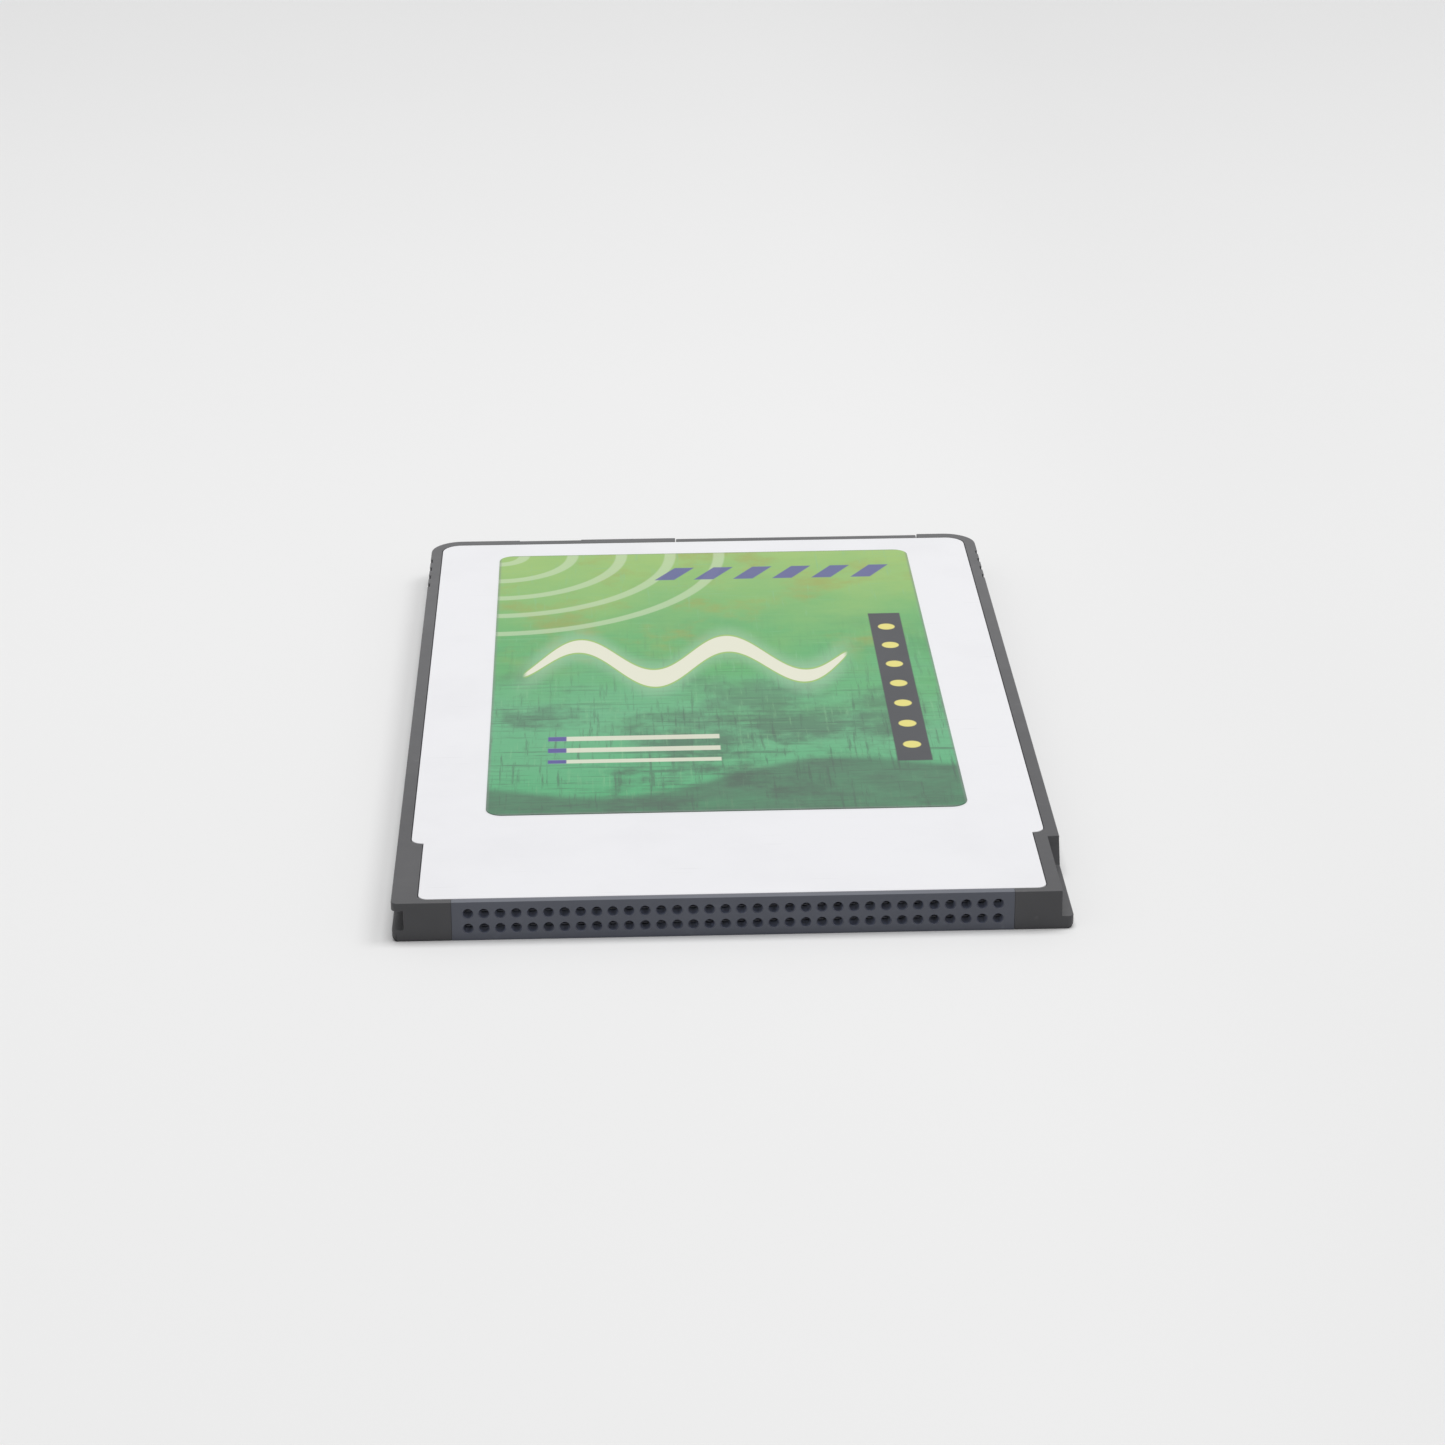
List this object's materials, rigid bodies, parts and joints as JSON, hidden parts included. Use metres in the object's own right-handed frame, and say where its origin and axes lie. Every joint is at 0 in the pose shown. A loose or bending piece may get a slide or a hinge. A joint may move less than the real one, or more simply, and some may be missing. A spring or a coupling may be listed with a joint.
{
  "type": "static memory card",
  "caption": "Thin rectangular memory card with a pin-socket connector on one short end, and a coin cell tray and a write-protect slider at the other.",
  "frame": {"origin": "middle of the card's lower face", "axes": "+X across the card, +Y from the connector end to the battery end, +Z out of the labelled face"},
  "size_m": [0.054, 0.0856, 0.0034],
  "materials": {
    "frame_plastic": "fine moulded texture",
    "cover_paint": "smooth white paint on thin steel",
    "label_film": "printed film",
    "insulator": "smooth moulding",
    "contact_metal": "plated",
    "board": "solder mask",
    "chip": "moulded resin",
    "capacitor": "fired body",
    "cell_steel": "drawn can",
    "spring_metal": "spring strip",
    "slider_plastic": "smooth moulding"
  },
  "bodies": {
    "card": {"frame": "frame_plastic", "top_cover": "cover_paint", "bottom_cover": "cover_paint", "label": "label_film", "connector_housing": "insulator", "upper_row_contacts": "contact_metal", "lower_row_contacts": "contact_metal", "circuit_board": "board", "bus_transceiver_left": "chip", "bus_transceiver_right": "chip", "address_decoder_chip": "chip", "memory_chip_left": "chip", "memory_chip_right": "chip", "attribute_memory_chip": "chip", "power_supervisor_chip": "chip", "decoupling_capacitors": "capacitor", "hold_up_capacitor": "capacitor", "blocking_diodes": "chip", "pull_up_resistors": "chip", "battery_positive_contact": "spring_metal", "battery_negative_contact": "spring_metal", "write_protect_switch": "chip"},
    "battery_tray": {"battery_tray": "frame_plastic", "coin_cell": "cell_steel"},
    "write_protect_slider": {"write_protect_slider": "slider_plastic"}
  },
  "joints": [
    {"name": "battery_tray_slide", "type": "slide", "parent": "card", "child": "battery_tray", "axis": [0, 1, 0], "range_m": [0, 0.024]},
    {"name": "write_protect_slide", "type": "slide", "parent": "card", "child": "write_protect_slider", "axis": [1, 0, 0], "range_m": [0, 0.002]}
  ]
}
